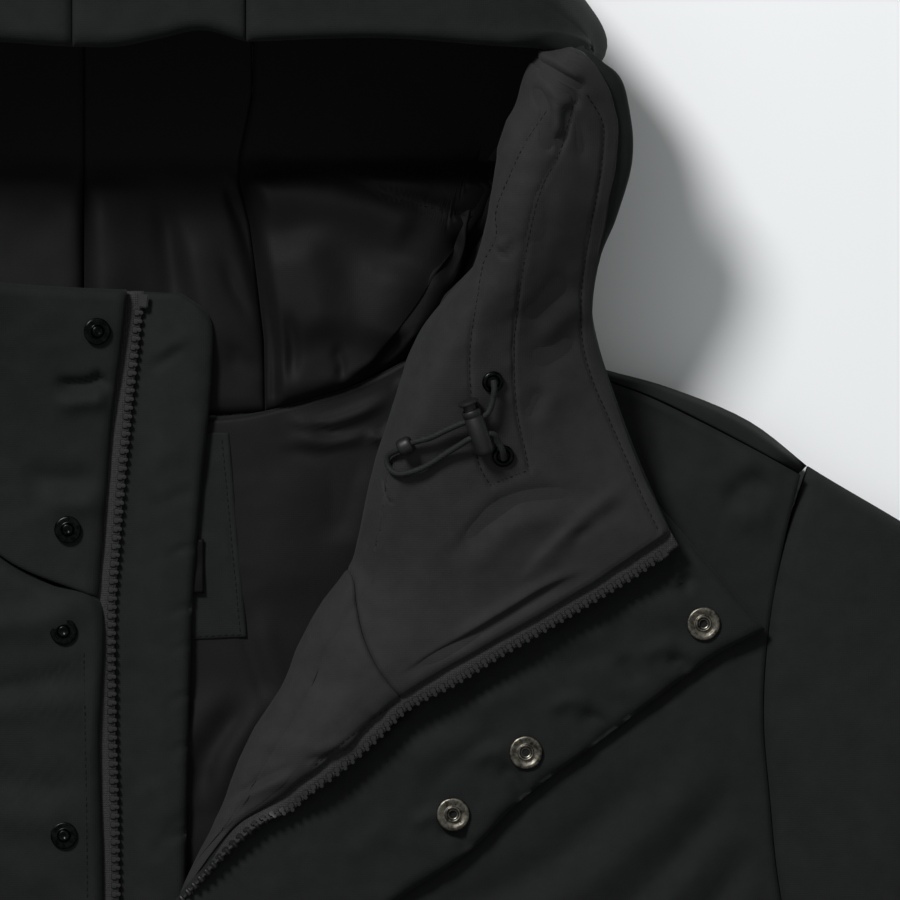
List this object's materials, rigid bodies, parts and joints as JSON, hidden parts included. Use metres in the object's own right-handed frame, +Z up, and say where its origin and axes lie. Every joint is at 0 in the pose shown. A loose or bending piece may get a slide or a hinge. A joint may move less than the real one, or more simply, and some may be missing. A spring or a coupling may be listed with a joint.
{
  "type": "puffer jacket",
  "caption": "Black hooded padded jacket laid flat, its left front folded open over a zip and a snapped storm flap, with a drawcord and cord lock.",
  "frame": {"origin": "on the floor under the middle of the laid-out jacket", "axes": "+Y towards the hood, +X towards the wearer's left, +Z up from the floor"},
  "size_m": [1.256, 0.9238, 0.1069],
  "materials": {
    "shell_cloth": "matt woven nylon, padded",
    "lining_cloth": "plain woven lining",
    "zip_tape": "woven tape with moulded teeth",
    "label_cloth": "plain satin label",
    "cord_braid": "round braided elastic",
    "black_plastic": "moulded",
    "black_metal": "black enamel",
    "aged_steel": "antique silver"
  },
  "bodies": {
    "jacket": {"back_lining": "lining_cloth", "back_panel": "shell_cloth", "cord_bead": "black_plastic", "cord_lock_barrel": "black_plastic", "cord_loop": "cord_braid", "cord_lower": "cord_braid", "cord_upper": "cord_braid", "eyelet_1": "black_metal", "eyelet_2": "black_metal", "front_facing_left": "shell_cloth", "front_left": "shell_cloth", "front_right": "shell_cloth", "hood_centre": "shell_cloth", "hood_facing_left": "shell_cloth", "hood_lining_centre": "lining_cloth", "hood_lining_left": "lining_cloth", "hood_lining_right": "lining_cloth", "hood_side_left": "shell_cloth", "hood_side_right": "shell_cloth", "neck_label": "label_cloth", "neck_patch": "shell_cloth", "sleeve_under_left": "shell_cloth", "sleeve_under_right": "shell_cloth", "sleeve_upper_left": "shell_cloth", "sleeve_upper_right": "shell_cloth", "snap_socket_1": "aged_steel", "snap_socket_10": "aged_steel", "snap_socket_11": "aged_steel", "snap_socket_12": "aged_steel", "snap_socket_2": "aged_steel", "snap_socket_3": "aged_steel", "snap_socket_4": "aged_steel", "snap_socket_5": "aged_steel", "snap_socket_6": "aged_steel", "snap_socket_7": "aged_steel", "snap_socket_8": "aged_steel", "snap_socket_9": "aged_steel", "snap_stud_1": "black_metal", "snap_stud_10": "black_metal", "snap_stud_11": "black_metal", "snap_stud_12": "black_metal", "snap_stud_2": "black_metal", "snap_stud_3": "black_metal", "snap_stud_4": "black_metal", "snap_stud_5": "black_metal", "snap_stud_6": "black_metal", "snap_stud_7": "black_metal", "snap_stud_8": "black_metal", "snap_stud_9": "black_metal", "storm_flap": "shell_cloth", "wind_guard": "shell_cloth", "zip_box": "black_metal", "zip_left": "zip_tape", "zip_pull": "black_metal", "zip_right": "zip_tape", "zip_slider": "black_metal", "zip_stop_left": "black_plastic", "zip_stop_right": "black_plastic"},
    "lock_button": {"cord_lock_button": "black_plastic"}
  },
  "joints": [
    {"name": "lock_press", "type": "slide", "parent": "jacket", "child": "lock_button", "axis": [0.3284, -0.916, -0.2303], "range_m": [0, 0.0022], "stiffness_N_per_m": 400, "springref_m": -0.001}
  ]
}
